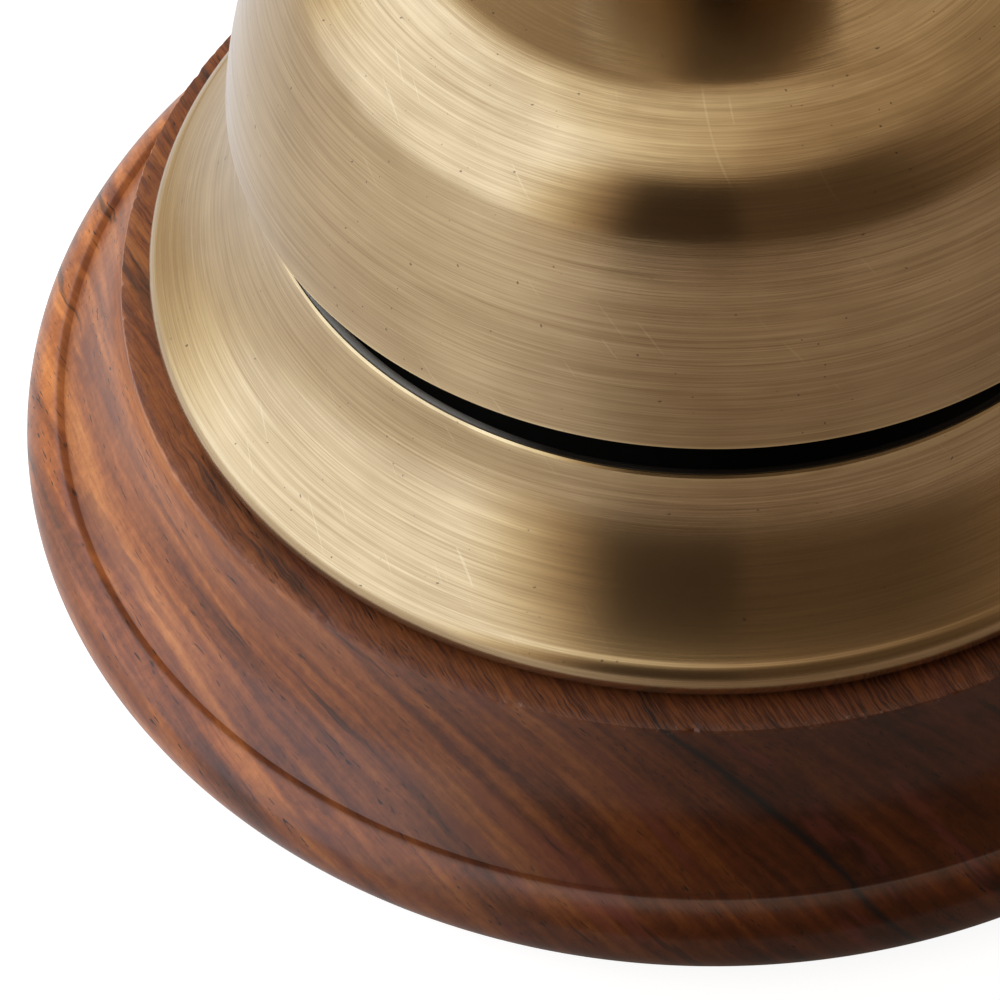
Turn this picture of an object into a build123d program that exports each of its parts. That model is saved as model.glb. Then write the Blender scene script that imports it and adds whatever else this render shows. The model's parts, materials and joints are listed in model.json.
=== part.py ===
"""Counter bell on a turned wooden plinth: a push button rocks a hammer lever under a brass dome.

Millimetres, +Z up. The origin is the centre of the felt pad's underside, where the bell stands.
Profiles of revolution are drawn in the XZ plane as (radius, height).
"""
import os
from math import cos, radians, sin

from build123d import *

os.makedirs("parts", exist_ok=True)

# Plinth: a felt pad, a half-round bead, a hollow cove and a flat ledge
FELT_THICK = 1.0
FELT_R = 57.0
FELT_HOLE_R = 14.0
PLINTH_R = 64.8
BEAD_R = 4.8
TUCK_R = 3.2
BULGE_Z = FELT_THICK + TUCK_R
BEAD_TOP_DEG = 72.0
LEDGE_R = 54.2
LEDGE_Z = 23.3
COVE_R = 19.0
COUNTERBORE_R = 9.0
COUNTERBORE_DEEP = 7.0

# Skirt: a spun brass pan with a rolled foot, a concave flare, a turned-in lip and a dished deck
SHEET = 1.0
SKIRT_TOP_R = 40.6
SKIRT_TOP_Z = 40.8
ROLL_R = 2.1
ROLL_CENTRE_R = 49.3
ROLL_CENTRE_Z = LEDGE_Z + ROLL_R
ROLL_START_DEG = 66.0
FLARE_R = 24.0
LIP_IN = 1.4
DECK_Z = 36.2
SCREW_XS = (18, -9.5)
SCREW_R = 1.3

# Dome: three arcs rising from the rim to a shallow crown; each angle is the outward normal's climb
DOME_WALL = 1.3
RIM_R = 42.8
RIM_Z = 46.8
RIM_DEG = 8.0
HAUNCH_DEG = 24.0
SHOULDER_DEG = 54.0
CROWN_DEG = 88.0
WALL_ARC_R = 70.0
HAUNCH_ARC_R = 11.0
SHOULDER_ARC_R = 14.0
CROWN_TOP_Z = 72.9
SEAT_R = 9.0

# Stem and the fastenings of the dome
STEM_R = 5.0
STEM_BORE_R = 3.1
STEM_TOP_Z = 71.0
NECK_R = 3.0
NECK_BORE_R = 1.78
NECK_TOP_Z = 77.0
BORE_TOP_Z = 69.0
BORE_FLOOR_Z = 44.0
NUT_R = 7.0
TIE_R = 2.5
HOLE_CLEARANCE = 0.2
SPACER_R = 6.0

# Push button
ROD_R = 1.7
ROD_TIP_Z = 57.6
KNOB_R = 11.2
KNOB_BASE_Z = 83.0
KNOB_TOP_Z = 97.0
ROD_TOP_Z = 91.0
STOP_COLLAR_Z = 67.4

# Rocker lever and hammer
PIVOT_X = 9.0
PIVOT_Z = 56.0
PIVOT_PIN_R = 1.2
PIN_CLEARANCE = 0.06
NOSE_R = 1.5
LEVER_WIDTH = 3.6
HAMMER_X = 30.5
HAMMER_Z = 57.2
HAMMER_R = 4.6
EAR_GAP = 2.3
EAR_THICK = 1.6


def finish(piece, name):
    """Name one finished piece and write its STEP file."""
    piece.part.label = name
    export_step(piece.part, f"parts/{name}.step")


def climb(start, from_deg, to_deg, radius):
    """Where a convex arc ends when its outward normal climbs from one angle to another."""
    inward = radius * (cos(radians(from_deg)) - cos(radians(to_deg)))
    upward = radius * (sin(radians(to_deg)) - sin(radians(from_deg)))
    return (start[0] - inward, start[1] + upward)


def dome_points(inset):
    """The dome's arc ends and middles, measured along the surface inset from the outside."""
    points = [(RIM_R - inset * cos(radians(RIM_DEG)), RIM_Z)]
    stations = (RIM_DEG, HAUNCH_DEG, SHOULDER_DEG, CROWN_DEG)
    radii = (WALL_ARC_R - inset, HAUNCH_ARC_R - inset, SHOULDER_ARC_R - inset)
    for low, high, radius in zip(stations, stations[1:], radii):
        middle = climb(points[-1], low, (low + high) / 2, radius)
        end = climb(points[-1], low, high, radius)
        points.extend([middle, end])
    return points


# Felt pad glued under the plinth
with BuildPart() as felt_pad:
    with BuildSketch(Plane.XY):
        Circle(FELT_R)
        Circle(FELT_HOLE_R, mode=Mode.SUBTRACT)
    extrude(amount=FELT_THICK)
finish(felt_pad, "felt_pad")

# Turned plinth, bored for the tie bolt and counterbored underneath for its head
bead_centre_r = PLINTH_R - BEAD_R
bead_top = (
    bead_centre_r + BEAD_R * cos(radians(BEAD_TOP_DEG)),
    BULGE_Z + BEAD_R * sin(radians(BEAD_TOP_DEG)),
)
bead_mid = (
    bead_centre_r + BEAD_R * cos(radians(BEAD_TOP_DEG / 2)),
    BULGE_Z + BEAD_R * sin(radians(BEAD_TOP_DEG / 2)),
)
tuck_mid = (PLINTH_R - TUCK_R * (1 - cos(radians(45))), BULGE_Z - TUCK_R * sin(radians(45)))
with BuildPart() as plinth:
    with BuildSketch(Plane.XZ):
        with BuildLine():
            ThreePointArc((PLINTH_R - TUCK_R, FELT_THICK), tuck_mid, (PLINTH_R, BULGE_Z))
            ThreePointArc((PLINTH_R, BULGE_Z), bead_mid, bead_top)
            cove = RadiusArc(bead_top, (LEDGE_R, LEDGE_Z), COVE_R)
            Polyline(cove @ 1, (0, LEDGE_Z), (0, FELT_THICK), (PLINTH_R - TUCK_R, FELT_THICK))
        make_face()
    revolve(axis=Axis.Z)
    with Locations(Plane.XY.offset(FELT_THICK).rotated((180, 0, 0))):
        CounterBoreHole(
            TIE_R + HOLE_CLEARANCE,
            counter_bore_radius=COUNTERBORE_R,
            counter_bore_depth=COUNTERBORE_DEEP,
        )
finish(plinth, "plinth")

# Spun skirt: flare, rolled foot, lip and deck are one sheet of brass
roll_start = (
    ROLL_CENTRE_R + ROLL_R * cos(radians(ROLL_START_DEG)),
    ROLL_CENTRE_Z + ROLL_R * sin(radians(ROLL_START_DEG)),
)
lip_r = SKIRT_TOP_R - LIP_IN
with BuildPart() as base_skirt:
    with BuildSketch(Plane.XZ):
        with BuildLine():
            flare = RadiusArc(roll_start, (SKIRT_TOP_R, SKIRT_TOP_Z), FLARE_R)
            lip = ThreePointArc(
                flare @ 1,
                (SKIRT_TOP_R - LIP_IN / 2, SKIRT_TOP_Z + 0.1),
                (lip_r, SKIRT_TOP_Z - LIP_IN / 2),
            )
            Polyline(
                lip @ 1,
                (lip_r, DECK_Z),
                (0, DECK_Z),
                (0, DECK_Z - SHEET),
                (lip_r + SHEET / 2, DECK_Z - SHEET),
                (lip_r + SHEET, SKIRT_TOP_Z - 2.2 * SHEET),
            )
            RadiusArc(
                (lip_r + SHEET, SKIRT_TOP_Z - 2.2 * SHEET),
                (roll_start[0] - SHEET, roll_start[1] - SHEET),
                -(FLARE_R + SHEET),
            )
            Line((roll_start[0] - SHEET, roll_start[1] - SHEET), roll_start)
        make_face()
        with Locations((ROLL_CENTRE_R, ROLL_CENTRE_Z)):
            Circle(ROLL_R)
    revolve(axis=Axis.Z)
    with Locations(Plane.XY.offset(DECK_Z)):
        Hole(TIE_R + HOLE_CLEARANCE)
    with Locations((SCREW_XS[0], 0, DECK_Z), (SCREW_XS[1], 0, DECK_Z)):
        Hole(SCREW_R + HOLE_CLEARANCE)
finish(base_skirt, "base_skirt")

# Dome: a spun shell of even wall with a flat seat round its hole
outer = dome_points(0)
inner = dome_points(DOME_WALL)
with BuildPart() as dome:
    with BuildSketch(Plane.XZ):
        with BuildLine():
            for profile, top in ((outer, CROWN_TOP_Z), (inner, CROWN_TOP_Z - DOME_WALL)):
                for low, middle, high in zip(profile[0::2], profile[1::2], profile[2::2]):
                    ThreePointArc(low, middle, high)
                ThreePointArc(
                    profile[-1],
                    ((profile[-1][0] + SEAT_R) / 2, (profile[-1][1] + 3 * top) / 4),
                    (SEAT_R, top),
                )
                Line((SEAT_R, top), (NECK_R, top))
            Line(outer[0], inner[0])
            Line((NECK_R, CROWN_TOP_Z), (NECK_R, CROWN_TOP_Z - DOME_WALL))
        make_face()
    revolve(axis=Axis.Z)
finish(dome, "dome")

# Spacer sleeve between the plinth and the deck, on the tie bolt
with BuildPart() as deck_spacer:
    with BuildSketch(Plane.XY.offset(LEDGE_Z)):
        Circle(SPACER_R)
        Circle(TIE_R + HOLE_CLEARANCE, mode=Mode.SUBTRACT)
    extrude(amount=DECK_Z - SHEET - LEDGE_Z)
finish(deck_spacer, "deck_spacer")

# Tie bolt and its washer, up through the plinth and the deck into the stem
HEAD_Z = 3.4
HEAD_TALL = 3.4
HEAD_CORNER_R = 4.6
with BuildPart() as tie_bolt:
    with BuildSketch(Plane.XY.offset(HEAD_Z)):
        RegularPolygon(HEAD_CORNER_R, 6)
    extrude(amount=HEAD_TALL)
    with BuildSketch(Plane.XY.offset(HEAD_Z + HEAD_TALL)):
        Circle(TIE_R)
    extrude(amount=BORE_FLOOR_Z - 1.5 - HEAD_Z - HEAD_TALL)
    chamfer(tie_bolt.edges().sort_by(Axis.Z)[-1], 0.5)
finish(tie_bolt, "tie_bolt")

with BuildPart() as tie_washer:
    with BuildSketch(Plane.XY.offset(HEAD_Z + HEAD_TALL)):
        Circle(COUNTERBORE_R - 0.6)
        Circle(TIE_R + HOLE_CLEARANCE, mode=Mode.SUBTRACT)
    extrude(amount=FELT_THICK + COUNTERBORE_DEEP - HEAD_Z - HEAD_TALL)
finish(tie_washer, "tie_washer")

# Bracket: a foot on the deck, two ears for the pivot and a shelf for the lever's buffer
FOOT_THICK = 1.6
FOOT_LONG = 34.4
FOOT_WIDE = 14.0
BRACKET_TOP_Z = DECK_Z + FOOT_THICK
EAR_R = 3.2
SHELF_X = 17.6
SHELF_Z = 52.2
with BuildPart() as bracket:
    with BuildSketch(Plane.XY.offset(DECK_Z)):
        with Locations((5.2, 0)):
            Rectangle(FOOT_LONG, FOOT_WIDE)
        fillet(vertices(), 3)
        Circle(TIE_R + 0.1, mode=Mode.SUBTRACT)
        with Locations((SCREW_XS[0], 0), (SCREW_XS[1], 0)):
            Circle(SCREW_R + 0.1, mode=Mode.SUBTRACT)
    extrude(amount=FOOT_THICK)
    for side in (-1, 1):
        ear_plane = Plane.XZ.offset(side * (EAR_GAP + EAR_THICK / 2))
        with BuildSketch(ear_plane):
            with BuildLine():
                Polyline(
                    (PIVOT_X + EAR_R, PIVOT_Z),
                    (PIVOT_X + EAR_R + 2, BRACKET_TOP_Z),
                    (PIVOT_X - EAR_R - 0.2, BRACKET_TOP_Z),
                    (PIVOT_X - EAR_R, PIVOT_Z),
                )
                ThreePointArc(
                    (PIVOT_X - EAR_R, PIVOT_Z),
                    (PIVOT_X, PIVOT_Z + EAR_R),
                    (PIVOT_X + EAR_R, PIVOT_Z),
                )
            make_face()
            with Locations((PIVOT_X, PIVOT_Z)):
                Circle(PIVOT_PIN_R, mode=Mode.SUBTRACT)
        extrude(amount=EAR_THICK / 2, both=True)
    with BuildSketch(Plane.XZ):
        with BuildLine():
            Polyline(
                (PIVOT_X + 4.2, BRACKET_TOP_Z),
                (SHELF_X - 2.2, SHELF_Z - FOOT_THICK),
                (SHELF_X + 2.4, SHELF_Z - FOOT_THICK),
                (SHELF_X + 2.4, SHELF_Z),
                (SHELF_X - 3.0, SHELF_Z),
                (PIVOT_X + 2.2, BRACKET_TOP_Z),
                close=True,
            )
        make_face()
    extrude(amount=2.2, both=True)
finish(bracket, "bracket")

# Two round-headed screws and their nuts hold the bracket's foot to the deck
SCREW_HEAD_R = 2.5
SCREW_HEAD_TALL = 1.4
SCREW_SLOT_DEEP = 0.6
NUT_TALL = 2.4
with BuildPart() as bracket_screws:
    for x in SCREW_XS:
        with BuildSketch(Plane.XY.offset(BRACKET_TOP_Z)):
            with Locations((x, 0)):
                Circle(SCREW_HEAD_R)
        extrude(amount=SCREW_HEAD_TALL)
        with BuildSketch(Plane.XY.offset(DECK_Z - SHEET - NUT_TALL - 0.8)):
            with Locations((x, 0)):
                Circle(SCREW_R)
        extrude(amount=SHEET + NUT_TALL + 0.8 + FOOT_THICK)
        with BuildSketch(Plane.XY.offset(BRACKET_TOP_Z + SCREW_HEAD_TALL)):
            with Locations((x, 0)):
                Rectangle(2 * SCREW_HEAD_R, 0.7)
        extrude(amount=-SCREW_SLOT_DEEP, mode=Mode.SUBTRACT)
finish(bracket_screws, "bracket_screws")

with BuildPart() as bracket_nuts:
    for x in SCREW_XS:
        with BuildSketch(Plane.XY.offset(DECK_Z - SHEET - NUT_TALL)):
            with Locations((x, 0)):
                RegularPolygon(SCREW_HEAD_R + 0.3, 6)
                Circle(SCREW_R, mode=Mode.SUBTRACT)
        extrude(amount=NUT_TALL)
finish(bracket_nuts, "bracket_nuts")

# Buffer pad where the lever rests
BUFFER_TALL = 2.0
BUFFER_LONG = 4.2
BUFFER_WIDE = 4.0
with BuildPart() as lever_buffer:
    with BuildSketch(Plane.XY.offset(SHELF_Z)):
        with Locations((SHELF_X - 0.2, 0)):
            Rectangle(BUFFER_LONG, BUFFER_WIDE)
    extrude(amount=BUFFER_TALL)
    fillet(lever_buffer.edges().filter_by(Axis.Z), 0.8)
finish(lever_buffer, "lever_buffer")

# Stem: a hollow post with a window for the lever's nose and a threaded neck for the dome's nut
WINDOW_LOW_Z = 50.8
SEAT_RING_Z = 58.8
with BuildPart() as stem:
    with BuildSketch(Plane.XZ):
        with BuildLine():
            Polyline(
                (TIE_R, BRACKET_TOP_Z),
                (STEM_R + 0.8, BRACKET_TOP_Z),
                (STEM_R + 0.8, BRACKET_TOP_Z + 2),
                (STEM_R, BRACKET_TOP_Z + 2.8),
                (STEM_R, STEM_TOP_Z),
                (NECK_R, STEM_TOP_Z),
                (NECK_R, NECK_TOP_Z - 0.4),
                (NECK_R - 0.4, NECK_TOP_Z),
                (NECK_BORE_R, NECK_TOP_Z),
                (NECK_BORE_R, BORE_TOP_Z),
                (STEM_BORE_R, BORE_TOP_Z),
                (STEM_BORE_R, BORE_FLOOR_Z),
                (TIE_R, BORE_FLOOR_Z),
                close=True,
            )
        make_face()
    revolve(axis=Axis.Z)
    with BuildSketch(Plane.XY.offset(WINDOW_LOW_Z)):
        with Locations((STEM_R, 0)):
            Rectangle(2 * STEM_R, LEVER_WIDTH + 0.8)
    extrude(amount=SEAT_RING_Z - WINDOW_LOW_Z, mode=Mode.SUBTRACT)
finish(stem, "stem")

# Spring seat pressed into the stem, above the window
SEAT_RING_THICK = 1.2
with BuildPart() as spring_seat:
    with BuildSketch(Plane.XY.offset(SEAT_RING_Z)):
        Circle(STEM_BORE_R)
        Circle(NECK_BORE_R, mode=Mode.SUBTRACT)
    extrude(amount=SEAT_RING_THICK)
finish(spring_seat, "spring_seat")

# Push rod, its stop collar, its lock nut and the knob
with BuildPart() as push_rod:
    with BuildSketch(Plane.XY.offset(ROD_TIP_Z)):
        Circle(ROD_R)
    extrude(amount=ROD_TOP_Z - ROD_TIP_Z)
    chamfer(push_rod.edges().sort_by(Axis.Z)[-1], 0.3)
    fillet(push_rod.edges().sort_by(Axis.Z)[0], 1.6)
finish(push_rod, "push_rod")

with BuildPart() as stop_collar:
    with BuildSketch(Plane.XY.offset(STOP_COLLAR_Z)):
        Circle(STEM_BORE_R - 0.2)
        Circle(ROD_R, mode=Mode.SUBTRACT)
    extrude(amount=BORE_TOP_Z - 0.1 - STOP_COLLAR_Z)
finish(stop_collar, "stop_collar")

LOCK_NUT_TALL = 1.8
with BuildPart() as knob_lock_nut:
    with BuildSketch(Plane.XY.offset(KNOB_BASE_Z - LOCK_NUT_TALL)):
        RegularPolygon(3.4, 6)
        Circle(ROD_R, mode=Mode.SUBTRACT)
    extrude(amount=LOCK_NUT_TALL)
finish(knob_lock_nut, "knob_lock_nut")

KNOB_WAIST_R = 4.6
KNOB_WIDE_Z = KNOB_BASE_Z + 7.0
KNOB_CROWN = KNOB_TOP_Z - KNOB_WIDE_Z
with BuildPart() as knob:
    with BuildSketch(Plane.XZ):
        with BuildLine():
            waist = Line((KNOB_WAIST_R, KNOB_BASE_Z), (KNOB_WAIST_R, KNOB_BASE_Z + 1.2))
            belly = ThreePointArc(
                waist @ 1,
                (KNOB_R - 1.5, KNOB_BASE_Z + 3.2),
                (KNOB_R, KNOB_WIDE_Z),
            )
            Bezier(
                belly @ 1,
                (KNOB_R, KNOB_WIDE_Z + 0.56 * KNOB_CROWN),
                (0.56 * KNOB_R, KNOB_TOP_Z),
                (0, KNOB_TOP_Z),
            )
            Polyline(
                (0, KNOB_TOP_Z),
                (0, ROD_TOP_Z),
                (ROD_R, ROD_TOP_Z),
                (ROD_R, KNOB_BASE_Z),
                waist @ 0,
            )
        make_face()
    revolve(axis=Axis.Z)
finish(knob, "knob")

# Return spring: compression coils round the rod, between the seat and the stop collar
SPRING_WIRE_R = 0.3
SPRING_R = 2.4
SPRING_TURNS = 4
spring_low = SEAT_RING_Z + SEAT_RING_THICK + SPRING_WIRE_R + 0.05
spring_high = STOP_COLLAR_Z - SPRING_WIRE_R - 0.05
with BuildPart() as return_spring:
    with BuildLine():
        coil = Helix(
            pitch=(spring_high - spring_low) / SPRING_TURNS,
            height=spring_high - spring_low,
            radius=SPRING_R,
            center=(0, 0, spring_low),
        )
    with BuildSketch(Plane(origin=coil @ 0, z_dir=coil % 0)):
        Circle(SPRING_WIRE_R)
    sweep(is_frenet=True)
finish(return_spring, "return_spring")

# Dome fastenings: fibre washer below, brass washer above, collar nut on the stem's neck
with BuildPart() as fibre_washer:
    with BuildSketch(Plane.XY.offset(STEM_TOP_Z)):
        Circle(NUT_R - 0.5)
        Circle(NECK_R, mode=Mode.SUBTRACT)
    extrude(amount=CROWN_TOP_Z - DOME_WALL - STEM_TOP_Z)
finish(fibre_washer, "fibre_washer")

WASHER_THICK = 0.6
WASHER_R = 8.4
with BuildPart() as dome_washer:
    with BuildSketch(Plane.XY.offset(CROWN_TOP_Z)):
        Circle(WASHER_R)
        Circle(NECK_R, mode=Mode.SUBTRACT)
    extrude(amount=WASHER_THICK)
    chamfer(dome_washer.edges().group_by(Axis.Z)[-1].sort_by(SortBy.RADIUS)[-1], 0.25)
finish(dome_washer, "dome_washer")

with BuildPart() as collar_nut:
    with BuildSketch(Plane.XY.offset(CROWN_TOP_Z + WASHER_THICK)):
        Circle(NUT_R)
        Circle(NECK_R, mode=Mode.SUBTRACT)
    extrude(amount=NECK_TOP_Z - CROWN_TOP_Z - WASHER_THICK)
    rims = collar_nut.edges().filter_by(GeomType.CIRCLE).filter_by(lambda e: e.radius > NUT_R - 1)
    fillet(rims.sort_by(Axis.Z)[-1], 1.2)
    chamfer(rims.sort_by(Axis.Z)[0], 0.4)
finish(collar_nut, "collar_nut")

# Pivot pin fixed in the ears, with a retaining clip on each end
CLIP_R = 2.5
CLIP_THICK = 0.8
PIN_HALF = EAR_GAP + EAR_THICK + 1.6
with BuildPart() as pivot_pin:
    with BuildSketch(Plane.XZ.offset(-PIN_HALF)):
        with Locations((PIVOT_X, PIVOT_Z)):
            Circle(PIVOT_PIN_R)
    extrude(amount=2 * PIN_HALF)
finish(pivot_pin, "pivot_pin")

with BuildPart() as pivot_clips:
    for side in (-1, 1):
        with BuildSketch(Plane.XZ.offset(side * (EAR_GAP + EAR_THICK + 0.1 + CLIP_THICK / 2))):
            with Locations((PIVOT_X, PIVOT_Z)):
                Circle(CLIP_R)
                Circle(PIVOT_PIN_R, mode=Mode.SUBTRACT)
                with Locations((0, 2.2)):
                    Rectangle(1.1, 2.6, mode=Mode.SUBTRACT)
        extrude(amount=CLIP_THICK / 2, both=True)
finish(pivot_clips, "pivot_clips")

# Rocker lever: a nose under the rod, an eye on the pivot and an arm that tapers to the hammer's peg
PEG_R = 1.3
HAMMER_FLAT_R = 1.9
HAMMER_FLAT = (HAMMER_R**2 - HAMMER_FLAT_R**2) ** 0.5
ARM_END_X = HAMMER_X - HAMMER_FLAT
with BuildPart() as lever:
    with BuildSketch(Plane.XZ):
        with Locations((0, PIVOT_Z)):
            Circle(NOSE_R)
        with BuildLine():
            Polyline(
                (0, PIVOT_Z + NOSE_R),
                (3, PIVOT_Z + NOSE_R),
                (PIVOT_X, PIVOT_Z + 2.6),
                (ARM_END_X, HAMMER_Z + 1.5),
                (ARM_END_X, HAMMER_Z - 1.5),
                (PIVOT_X, PIVOT_Z - 2.6),
                (0, PIVOT_Z - NOSE_R),
                close=True,
            )
        make_face()
        with Locations((PIVOT_X, PIVOT_Z)):
            Circle(PIVOT_PIN_R + PIN_CLEARANCE, mode=Mode.SUBTRACT)
    extrude(amount=LEVER_WIDTH / 2, both=True)
    with BuildSketch(Plane.YZ.offset(ARM_END_X)):
        with Locations((0, HAMMER_Z)):
            Circle(PEG_R)
    extrude(amount=HAMMER_X + HAMMER_FLAT - ARM_END_X)
finish(lever, "lever")

# Hammer head: a turned brass ball with flats, peened on the lever's peg
with BuildPart() as hammer_head:
    with BuildSketch(Plane.XZ):
        with BuildLine():
            Polyline(
                (-HAMMER_FLAT, HAMMER_FLAT_R),
                (-HAMMER_FLAT, PEG_R),
                (HAMMER_FLAT, PEG_R),
                (HAMMER_FLAT, HAMMER_FLAT_R),
            )
            ThreePointArc((-HAMMER_FLAT, HAMMER_FLAT_R), (0, HAMMER_R), (HAMMER_FLAT, HAMMER_FLAT_R))
        make_face()
    revolve(axis=Axis.X)
hammer_head.part = hammer_head.part.moved(Location((HAMMER_X, 0, HAMMER_Z)))
finish(hammer_head, "hammer_head")
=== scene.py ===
"""Looks of the counter bell: turned rosewood, spun and antiqued brass, steel movement."""
import json
from math import atan2, cos, hypot, pi, radians, sin

import bmesh
import bpy
from mathutils import Matrix, Vector, noise


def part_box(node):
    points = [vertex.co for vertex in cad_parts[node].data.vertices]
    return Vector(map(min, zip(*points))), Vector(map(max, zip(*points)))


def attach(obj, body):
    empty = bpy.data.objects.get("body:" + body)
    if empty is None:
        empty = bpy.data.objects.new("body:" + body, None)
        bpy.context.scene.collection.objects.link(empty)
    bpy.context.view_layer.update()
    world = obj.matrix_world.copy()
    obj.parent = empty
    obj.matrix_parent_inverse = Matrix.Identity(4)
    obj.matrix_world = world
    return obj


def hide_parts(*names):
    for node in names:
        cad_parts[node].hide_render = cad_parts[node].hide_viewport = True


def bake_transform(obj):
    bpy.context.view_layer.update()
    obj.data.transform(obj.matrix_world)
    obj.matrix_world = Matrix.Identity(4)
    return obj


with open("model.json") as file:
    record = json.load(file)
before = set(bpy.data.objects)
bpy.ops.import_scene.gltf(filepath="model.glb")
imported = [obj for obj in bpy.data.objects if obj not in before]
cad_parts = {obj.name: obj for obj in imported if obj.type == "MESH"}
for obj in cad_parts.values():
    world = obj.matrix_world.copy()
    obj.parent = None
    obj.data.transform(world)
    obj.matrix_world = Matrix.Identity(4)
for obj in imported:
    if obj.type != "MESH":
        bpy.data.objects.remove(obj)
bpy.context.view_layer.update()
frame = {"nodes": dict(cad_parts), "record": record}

MM = 0.001

# Dome and the neck it sits on, in millimetres
DOME_WALL = 1.3
DOME_SEAT_R = 9.0
NECK_R = 3.0

# Skirt: the lip lies this far in from the foot
LIP_INSET = 12.2
LIP_FOLD_R = 1.4
FLARE_R = 24.0
FOOT_ROLL_R = 2.1

# Plinth: the ledge's edge lies this far in from the bead, and the dark vein this far across
LEDGE_INSET = 10.6
BEAD_R = 4.8
TUCK_R = 3.2
COVE_R = 19.0
BOLT_R = 2.7
COUNTERBORE_R = 9.0
COUNTERBORE_DEEP = 7.0
VEIN_AT = -8.0

# Knob: its widest point lies this far above its foot
KNOB_WAIST_R = 4.6
KNOB_WIDE_UP = 7.0

# Felt pad's hole and spring's wire
PAD_HOLE_R = 14.0
WIRE_R = 0.24

# The dome's side: the outward normal turns through these angles on arcs of these radii
WALL_DEG = (8.0, 24.0, 54.0, 88.0)
DOME_ARCS = (70.0, 11.0, 14.0)

# The camera: place in metres, turn in degrees
CAMERA_AT = (0.0, -0.27863, 0.33254)
CAMERA_YAW = -4.12
CAMERA_PITCH = 51.06
CAMERA_ROLL = -2.29


# ---------------------------------------------------------------- shader helpers
class Shader:
    """A node tree being built: a method adds the nodes of one step and returns the result's socket."""

    def __init__(self, tree):
        self.tree = tree

    def node(self, kind, **settings):
        made = self.tree.nodes.new(kind)
        for key, value in settings.items():
            setattr(made, key, value)
        return made

    def put(self, socket, value):
        """Link a socket, or set it when the value is a constant."""
        if isinstance(value, bpy.types.NodeSocket):
            self.tree.links.new(value, socket)
        elif value is not None:
            socket.default_value = value

    def math(self, operation, a, b=None, c=None):
        made = self.node("ShaderNodeMath", operation=operation)
        for socket, value in zip(made.inputs, (a, b, c)):
            self.put(socket, value)
        return made.outputs[0]

    def window(self, value, low, high, to_low=0.0, to_high=1.0):
        """Smooth step of a value from low to high."""
        made = self.node("ShaderNodeMapRange", interpolation_type="SMOOTHSTEP")
        for socket, number in zip(made.inputs, (value, low, high, to_low, to_high)):
            self.put(socket, number)
        return made.outputs[0]

    def between(self, value, start, full, fading, gone):
        """A smooth bump: 0 up to start, 1 from full to fading, and 0 again past gone."""
        return self.math("MULTIPLY", self.window(value, start, full), self.window(value, gone, fading))

    def combine(self, x, y, z):
        made = self.node("ShaderNodeCombineXYZ")
        for socket, value in zip(made.inputs, (x, y, z)):
            self.put(socket, value)
        return made.outputs[0]

    def noise(self, place, scale, detail, rough, w=None, warp=0.0):
        made = self.node("ShaderNodeTexNoise", noise_dimensions="3D" if w is None else "4D")
        self.put(made.inputs["Vector"], place)
        if w is not None:
            self.put(made.inputs["W"], w)
        self.put(made.inputs["Scale"], scale)
        self.put(made.inputs["Detail"], detail)
        self.put(made.inputs["Roughness"], rough)
        self.put(made.inputs["Distortion"], warp)
        return made.outputs["Fac"]

    def mix(self, factor, a, b, blend="MIX"):
        made = self.node("ShaderNodeMix", data_type="RGBA", blend_type=blend)
        self.put(made.inputs["Factor"], factor)
        self.put(made.inputs["A"], a)
        self.put(made.inputs["B"], b)
        return made.outputs["Result"]

    def stain(self, colour, mask, amount, tint):
        """Mix a tint into a colour by that amount where the mask is 1."""
        return self.mix(self.math("MULTIPLY", mask, amount), colour, tint)

    def ramp(self, value, *stops):
        made = self.node("ShaderNodeValToRGB")
        elements = made.color_ramp.elements
        while len(elements) < len(stops):
            elements.new(0.5)
        for element, (place, colour) in zip(elements, stops):
            element.position = place
            element.color = (*colour, 1.0)
        self.put(made.inputs["Fac"], value)
        return made.outputs["Color"]

    def bump(self, height, strength, distance_mm):
        made = self.node("ShaderNodeBump")
        self.put(made.inputs["Strength"], strength)
        self.put(made.inputs["Distance"], distance_mm * MM)
        self.put(made.inputs["Height"], height)
        return made.outputs["Normal"]


def new_material(name):
    """A material, its shader, its Principled node, and the place in millimetres, whole and in parts."""
    material = bpy.data.materials.new(name)
    material.use_nodes = True
    shader = Shader(material.node_tree)
    surface = material.node_tree.nodes["Principled BSDF"]
    place = shader.node("ShaderNodeTexCoord").outputs["Object"]
    scaled = shader.node("ShaderNodeVectorMath", operation="SCALE")
    shader.put(scaled.inputs[0], place)
    scaled.inputs["Scale"].default_value = 1.0 / MM
    split = shader.node("ShaderNodeSeparateXYZ")
    shader.put(split.inputs[0], scaled.outputs[0])
    return material, shader, surface, scaled.outputs[0], tuple(split.outputs)


def around_axis(shader, x, y):
    """Radius from the Z axis, and the unit vector's two parts."""
    squares = shader.math("ADD", shader.math("MULTIPLY", x, x), shader.math("MULTIPLY", y, y))
    radius = shader.math("SQRT", squares)
    safe = shader.math("MAXIMUM", radius, 0.01)
    return radius, shader.math("DIVIDE", x, safe), shader.math("DIVIDE", y, safe)


def turned_streaks(shader, x, y, z, along, across, detail=2.0, rough=0.5):
    """Noise stretched round the axis: long round the circumference, fine across it."""
    radius, unit_x, unit_y = around_axis(shader, x, y)
    round_part = shader.combine(
        shader.math("MULTIPLY", unit_x, along),
        shader.math("MULTIPLY", unit_y, along),
        shader.math("MULTIPLY", z, across),
    )
    return shader.noise(round_part, 1.0, detail, rough, w=shader.math("MULTIPLY", radius, across))


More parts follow.
